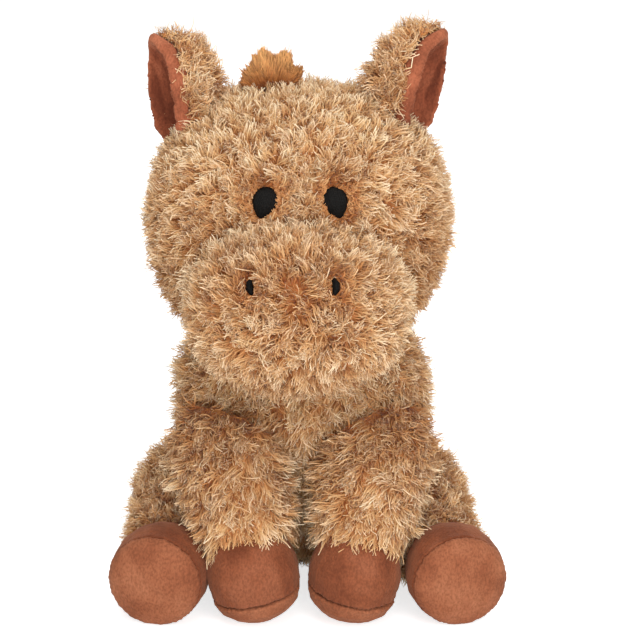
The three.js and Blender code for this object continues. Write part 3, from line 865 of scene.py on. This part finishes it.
def skin_of(node, inset, hoof):
    """The backing of a stuffed piece, under the pile. It comes up to the hoof and to the embroidery."""
    skin = smooth_copy(node, "skin")
    places, normals = mesh_arrays(skin)
    depth = np.full(len(places), inset)
    if hoof:
        depth *= np.clip(distances(places, hoof) / SKIN_RISE, SKIN_AT_HOOF_SHARE, 1)
    if node in FACE:
        depth *= np.clip(face_clear(places, SKIN_SPREAD), SKIN_AT_PATCH_SHARE, 1)
    move_vertices(skin, places - normals * depth[:, None])
    return skin


def pile_roots(node, skin, density, rng):
    """Roots on the skin, closer together at the embroidery and at the front edge of an ear's mouth."""
    roots, normals = scatter(skin, density, rng)
    is_ear = node.startswith("ear")
    if node not in FACE and not is_ear:
        return roots, normals
    more, more_normals = scatter(skin, density * EXTRA_DENSITY_SHARE, rng)
    if is_ear:
        lining = lining_of(node)
        near = in_front_of(lining, more) & (distances(more, lining) < EAR_FRINGE)
    else:
        near = face_clear(more, EXTRA_SPREAD) < 1
    return np.concatenate([roots, more[near]]), np.concatenate([normals, more_normals[near]])


def pile_growth(node, roots, style, hoof):
    """Each strand's length, its share in the hem at the hoof, and the radius of its curl."""
    lengths = np.full(len(roots), style["length"] * MM)
    hem = np.zeros(len(roots))
    curl = np.full(len(roots), style["curl"] * MM)
    if hoof:
        hem = np.clip(1 - distances(roots, hoof) / HEM_REACH, 0, 1)
        lengths *= 1 - HEM_SHORT_SHARE * hem
    if node.startswith("ear"):
        lining = lining_of(node)
        rim = np.clip(1 - distances(roots, lining) / EAR_RIM, 0, 1)
        fringe = in_front_of(lining, roots)
        lengths *= 1 - np.where(fringe, 0, RIM_SHORT_SHARE) * rim
        curl *= 1 + np.where(fringe, FRINGE_CURL_SHARE, RIM_CURL_SHARE) * rim
    if node in FACE:
        lengths *= np.clip(face_clear(roots, PATCH_LENGTH_SPREAD), PATCH_LENGTH_SHARE, 1)
    if node == "muzzle":
        lengths *= 1 + MUZZLE_EDGE_SHARE * np.exp(-distances(roots, "head") / MUZZLE_EDGE)
    return lengths, hem, curl


def pile_tone(node, roots, lock, rng):
    """Each strand's tone from 0, red and dark, to 1, pale. The pile's shade taken off it holds painted
    shade and a painted highlight in places.
    """
    wide = WIDE_SPOT_TONE * wobble(roots, WIDE_SPOT, WIDE_SPOT_SEED)
    small = SMALL_SPOT_TONE * wobble(roots, SMALL_SPOT, SMALL_SPOT_SEED)
    own = rng.normal(MEAN_TONE, STRAND_TONE_SPREAD, len(roots))
    shared = rng.normal(0, LOCK_TONE_SPREAD, lock.max() + 1)[lock]
    return np.clip(own + shared + wide + small - pile_shade(node, roots), 0, 1)


def furry(node, seed, fur, backing):
    """Replaces a stuffed CAD node by its backing and its pile."""
    style = PILES[node.removesuffix("_left").removesuffix("_right")]
    rng = np.random.default_rng(seed)
    hoof = node.replace("leg", "hoof") if "leg" in node else None
    skin = skin_of(node, style["inset"] * MM, hoof)
    roots, normals = pile_roots(node, skin, style["density"], rng)
    lengths, hem, curl = pile_growth(node, roots, style, hoof)
    stitched = tuple(OPENINGS) if node in FACE else ()
    neighbours = [name for name in frame["nodes"] if name != node and not name.startswith(stitched)]
    blocked = tree_of(*neighbours)
    paths, length, lock = curly_paths(node, roots, normals, rng, style, lengths, hem, curl, blocked)

    piece = add_piece(f"{node}_skin", skin, backing, node)
    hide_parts(node)
    width = rng.uniform(*WIDTH_SHARES, len(roots)) * STRAND_WIDTH
    tone = pile_tone(node, roots, lock, rng)
    shortest_share, longest_share = GROWN_SHARES
    if node.startswith("ear"):
        shortest_share = EAR_GROWN_SHARE
    grown = np.clip(length / (style["length"] * MM), shortest_share, longest_share)
    kept = beside_patches(paths)
    strands = (paths[kept], normals[kept], rng, tone[kept], grown[kept], width[kept])
    add_pile(node, *strands, TIP_WIDTH_SHARE, fur, "plush")


# Tufts of straight pile that end flat on the CAD surface

# Gather pulls the roots together, petals parts the tips into lobes, density is per square millimetre.
TUFTS = {
    "forelock": {"gather_share": 0.55, "petals": 0.22, "density": 7.0, "seed": 31},
    "mane": {"gather_share": 0.0, "petals": 0, "density": 3.0, "seed": 32},
}
TUFT_INSET = 2.2 * MM
TUFT_STRANDS_PER_LOCK = 22
TUFT_REACH_SHARE = 0.95
TUFT_REACH_SPREAD = 0.025
PETAL_TURNS = 6.4
PETAL_START = 0.4
PETAL_ROUNDNESS = 0.4
PETAL_MEAN_SHARE = 0.8
STRAY_SHARE = 0.012
STRAY_SHARES = (0.05, 0.2)
TUFT_TONE_SPREAD = 0.25
TUFT_LOCK_TONE_SPREAD = 0.22
TUFT_GROWN_SHARES = (0.15, 1.1)
TUFT_FULL_SHARE = 0.85
TUFT_SWAY = 0.6 * MM
TUFT_SHORTEST = 2 * MM
TUFT_WIDTH = 0.45 * MM
STRAIGHT_WIDTH_SHARES = (0.7, 1.2)
TUFT_TIP_WIDTH_SHARE = 0.8

TAIL_DENSITY = 3.0
TAIL_SEED = 33
TAIL_INSET = 1.6 * MM
TAIL_TOP_RISE = 4 * MM
TAIL_START_BACK = 9 * MM
TAIL_START_DEPTH = 1.0 * MM
TAIL_LONGEST = 19 * MM
TAIL_LENGTH_SHARES = (0.8, 1.15)
TAIL_SWAY = 0.7 * MM
TAIL_RISE = 1.6 * MM
TAIL_WIDTH = 0.5 * MM
TAIL_TONE_SPREAD = 0.22
TAIL_TIP_WIDTH_SHARE = 0.7


def straight_piece(node, core, places, normals, inset, backing):
    """Replaces a CAD node by a core that lies under its straight pile."""
    move_vertices(core, places - normals * inset)
    piece = add_piece(f"{node}_core", core, backing, node)
    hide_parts(node)


def tuft(node, carrier, gather_share, petals, density, seed, pile, backing):
    """Straight strands from the seam on the carrier to the form of the tuft."""
    rng = np.random.default_rng(seed)
    core = smooth_copy(node, "tuft")
    places, core_normals = mesh_arrays(core)
    tips, normals = scatter(core, density, rng)
    straight_piece(node, core, places, core_normals, TUFT_INSET, backing)

    count = len(tips)
    seam = tree_of(carrier)
    low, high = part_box(node)
    foot = np.array([(low.x + high.x) / 2, (low.y + high.y) / 2, low.z])
    nearest = np.array([seam.find_nearest(tip)[0] for tip in tips])
    roots = nearest * (1 - gather_share) + foot * gather_share
    height = np.linalg.norm(tips - roots, axis=1)
    lock, _ = lock_index(tips, count // TUFT_STRANDS_PER_LOCK, rng)
    reach = rng.normal(TUFT_REACH_SHARE, TUFT_REACH_SPREAD, count)
    reach += rng.normal(0, TUFT_REACH_SPREAD, lock.max() + 1)[lock]
    fan = np.arctan2(tips[:, 0] - foot[0], tips[:, 2] - foot[2])
    lobes = np.abs(np.cos(PETAL_TURNS * fan + PETAL_START)) ** PETAL_ROUNDNESS
    reach += petals * (lobes - PETAL_MEAN_SHARE)
    stray = rng.random(count) < STRAY_SHARE
    reach[stray] += rng.uniform(*STRAY_SHARES, stray.sum())
    tone = rng.normal(MEAN_TONE, TUFT_TONE_SPREAD, count)
    tone += rng.normal(0, TUFT_LOCK_TONE_SPREAD, lock.max() + 1)[lock]
    grown = np.clip(height / (TUFT_FULL_SHARE * height.max()), *TUFT_GROWN_SHARES)
    share = np.linspace(0, 1, STRAND_POINTS)[None, :, None]
    sway = rng.normal(size=(count, 1, 3)) * TUFT_SWAY
    paths = roots[:, None] + (tips - roots)[:, None] * share * reach[:, None, None] + sway * share**2

    kept = height > TUFT_SHORTEST
    width = rng.uniform(*STRAIGHT_WIDTH_SHARES, kept.sum()) * TUFT_WIDTH
    strands = (paths[kept], normals[kept], rng, np.clip(tone[kept], 0, 1), grown[kept], width)
    add_pile(node, *strands, TUFT_TIP_WIDTH_SHARE, pile, "straight_pile")


def hanging_tail(pile, backing):
    """Long straight strands that hang from the tail's seam and lie along it."""
    rng = np.random.default_rng(TAIL_SEED)
    core = smooth_copy("tail", "tail")
    places, core_normals = mesh_arrays(core)
    roots, normals = scatter(core, TAIL_DENSITY, rng)
    straight_piece("tail", core, places, core_normals, TAIL_INSET, backing)

    count = len(roots)
    low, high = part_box("tail")
    top = np.array([0, low.y, high.z + TAIL_TOP_RISE])
    flow = unit(roots - top)
    start = roots - flow * TAIL_START_BACK - normals * TAIL_START_DEPTH
    length = np.minimum(np.linalg.norm(roots - top, axis=1), TAIL_LONGEST)
    length *= rng.uniform(*TAIL_LENGTH_SHARES, count)
    share = np.linspace(0, 1, STRAND_POINTS)[None, :, None]
    sway = rng.normal(size=(count, 1, 3)) * TAIL_SWAY
    along = flow[:, None] * length[:, None, None] * share
    paths = start[:, None] + along + normals[:, None] * TAIL_RISE * share + sway * share**2
    paths[:, :, 2] = np.maximum(paths[:, :, 2], FLOOR_CLEAR)
    width = rng.uniform(*STRAIGHT_WIDTH_SHARES, count) * TAIL_WIDTH
    tone = np.clip(rng.normal(MEAN_TONE, TAIL_TONE_SPREAD, count), 0, 1)
    strands = (paths, normals, rng, tone, np.ones(count), width)
    add_pile("tail", *strands, TAIL_TIP_WIDTH_SHARE, pile, "straight_pile")


# Velour hooves and linings

PUFF = {"hoof": 0.1 * MM, "sole": 0.1 * MM, "lining": 0.7 * MM}
VELOUR_SEEDS = {"hoof": 5, "sole": 6, "lining": 7}
HOOF_CLEAR = 0.02 * MM

# Depth and size of the dents, of the folds between them and of the nap
RELIEF = ((0.45 * MM, 11 * MM), (0.12 * MM, 2.2 * MM), (0.05 * MM, 0.9 * MM))

# Rays that find how closed in each point of a lining is, for its painted shade and painted highlight
HOLLOW_RAYS = 40
HOLLOW_START = 1.2 * MM
HOLLOW_REACH = 25 * MM
HOLLOW_FLATTEST = 0.15
HOLLOW_SEEN_LEAST = 0.01

PLEATS = 44
PLEAT_DEPTH = 0.2 * MM
PLEAT_UNEVEN = 2
PLEAT_UNEVEN_TURNS = 5
ROLL_HEIGHT = 0.75 * MM
ROLL_REACH = 2.6 * MM
CREASE_DEPTH = 1.05 * MM
CREASE_REACH = 0.8 * MM
CREASE_WANDER = 0.5 * MM
CREASE_WANDER_SIZE = 5 * MM
CREASE_SEED = 4
SEAM_INNER = 14 * MM
SEAM_FADE = 5 * MM


def sphere_ways(count):
    """Directions spread evenly over a sphere."""
    turn = np.arange(count) * math.pi * (3 - math.sqrt(5))
    height = (2 * np.arange(count) + 1) / count - 1
    flat = np.sqrt(1 - height**2)
    return np.stack([flat * np.cos(turn), flat * np.sin(turn), height], axis=1)


def painted_cup_shading_map(node, mesh, places, normals):
    """A map that runs from 0 where the ear's cup is closed in to 1 where it lies open. The lining's colour
    follows it as painted shade inside the cup and a painted highlight on the open rim.
    """
    ear = tree_of(node, node.replace("_lining", ""))
    start = places + normals * HOLLOW_START
    seen = np.zeros(len(places))
    free = np.zeros(len(places))
    for way in sphere_ways(HOLLOW_RAYS):
        slope = normals @ way
        for i in np.flatnonzero(slope > HOLLOW_FLATTEST):
            seen[i] += slope[i]
            if ear.ray_cast(start[i], way, HOLLOW_REACH)[3] is None:
                free[i] += slope[i]
    level = free / np.maximum(seen, HOLLOW_SEEN_LEAST)
    corners = np.empty(len(mesh.loops), np.int32)
    mesh.loops.foreach_get("vertex_index", corners)
    layer = mesh.uv_layers.new(name="Hollow")
    layer.uv.foreach_set("vector", np.repeat(level[corners], 2).astype(np.float32))


def seam_line(node):
    """Middle and direction of the round seam between a hoof and its sole."""
    sole = node.replace("hoof", "sole")
    hoof = node.replace("sole", "hoof")
    points = np.array([vertex.co[:] for vertex in frame["nodes"][sole].data.vertices])
    middle = points.mean(axis=0)
    axis = np.linalg.svd(points - middle, full_matrices=False)[2][2]
    axis *= math.copysign(1, axis @ (middle_of(sole) - middle_of(hoof)))
    back = ((points - middle) @ axis).min()
    return middle + axis * back, axis


def pucker(node, places):
    """Small pleats across the seam, and the rolled edge beside it."""
    middle, axis = seam_line(node)
    away = places - middle
    height = away @ axis
    across = unit(np.cross(axis, [0.0, 0.0, 1.0]))
    turn = np.arctan2(away @ np.cross(axis, across), away @ across)
    radial = np.linalg.norm(away - height[:, None] * axis, axis=1)
    outer = np.clip((radial - SEAM_INNER) / SEAM_FADE, 0, 1)
    roll = np.exp(-((height / ROLL_REACH) ** 2)) * outer
    pleats = np.sin(turn * PLEATS + PLEAT_UNEVEN * np.sin(turn * PLEAT_UNEVEN_TURNS)) * roll
    uneven = height + CREASE_WANDER * wobble(places, CREASE_WANDER_SIZE, CREASE_SEED)
    crease = np.exp(-((uneven / CREASE_REACH) ** 2)) * outer
    return PLEAT_DEPTH * pleats + ROLL_HEIGHT * roll - CREASE_DEPTH * crease


def velour_piece(node, kind, material):
    """Stretched velour: shallow dents, a nap with some depth, and puckers along the sole's seam."""
    mesh = smooth_copy(node, kind)
    places, normals = mesh_arrays(mesh)
    rise = sum(depth * wobble(places, size, VELOUR_SEEDS[kind]) for depth, size in RELIEF)
    if kind != "lining":
        rise += pucker(node, places)
    moved = places + normals * (rise + PUFF[kind])[:, None]
    moved[:, 2] = np.maximum(moved[:, 2], HOOF_CLEAR)
    move_vertices(mesh, moved)
    # The lining gets the map for its painted shade and painted highlight
    if kind == "lining":
        painted_cup_shading_map(node, mesh, moved, normals)
    piece = add_piece(f"{node}_velour", mesh, material, node)
    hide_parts(node)
    return piece


# Embroidery

THREAD_PITCH = {"eye": 0.85 * MM, "nostril": 0.8 * MM}
STITCH_SEEDS = {"eye": 8, "nostril": 9}
STITCH_WANDER = 0.25
STITCH_WANDER_SIZE = 3 * MM
STITCH_ROUNDNESS = 0.6
STITCH_HEIGHT = 0.55 * MM
STITCH_SINK = 0.2 * MM
STITCH_FACING_POWER = 3


def embroidered(patch, side, material):
    """Satin stitch: threads side by side, which run along the longer way of the patch."""
    node = f"{patch}_{side}"
    mesh = smooth_copy(node, "stitch")
    places, normals = mesh_arrays(mesh)
    flat = (places - places.mean(axis=0))[:, [0, 2]]
    along = np.linalg.svd(flat, full_matrices=False)[2][0]
    across = flat @ np.array([-along[1], along[0]])
    uneven = STITCH_WANDER * wobble(places, STITCH_WANDER_SIZE, STITCH_SEEDS[patch])
    ridge = np.abs(np.cos(math.pi * (across / THREAD_PITCH[patch] + uneven))) ** STITCH_ROUNDNESS
    facing = np.abs(normals[:, 1]) ** STITCH_FACING_POWER
    rise = (STITCH_HEIGHT * ridge - STITCH_SINK) * facing
    move_vertices(mesh, places + normals * rise[:, None])
    piece = add_piece(f"{node}_stitch", mesh, material, node)
    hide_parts(node)


# The scene

make_camera()
for lamp_name, lamp_values in LAMPS.items():
    make_lamp(lamp_name, **lamp_values)
make_room()
make_floor()

fur = pile_material("fur", CURLY_TONES)
straight = pile_material("straight_pile", STRAIGHT_TONES)
backing = backing_material("backing")
russet_backing = backing_material("russet_backing")
# The hoof velour is darker than the sole's, partly as painted shade
hoof_velour = velour_material("hoof_velour")
sole_velour = velour_material("sole_velour")
# The ear linings' velour carries painted shade in the cup and a painted highlight on the rim
ear_velour = velour_material("ear_velour", painted_cup_shading=True)
thread = thread_material("thread")
cotton = cotton_material("cotton")

for pile_seed, stuffed_node in enumerate(STUFFED, start=FIRST_PILE_SEED):
    furry(stuffed_node, pile_seed, fur, backing)

for tuft_node, tuft_style in TUFTS.items():
    tuft(tuft_node, "head", **tuft_style, pile=straight, backing=russet_backing)
hanging_tail(straight, russet_backing)

for side in SIDES:
    for leg in LEGS:
        hoof = velour_piece(f"{leg}_hoof_{side}", "hoof", hoof_velour)
        sole = velour_piece(f"{leg}_sole_{side}", "sole", sole_velour)
    velour_piece(f"ear_lining_{side}", "lining", ear_velour)
    for patch in OPENINGS:
        embroidered(patch, side, thread)

for node, material, slot in (("seat_panel", backing, "plush"), ("bean_pouch", cotton, "pouch_cotton")):
    piece = add_piece(f"{node}_cloth", smooth_copy(node, "cloth"), material, node)
    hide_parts(node)

bpy.context.scene.view_settings.view_transform = "Standard"
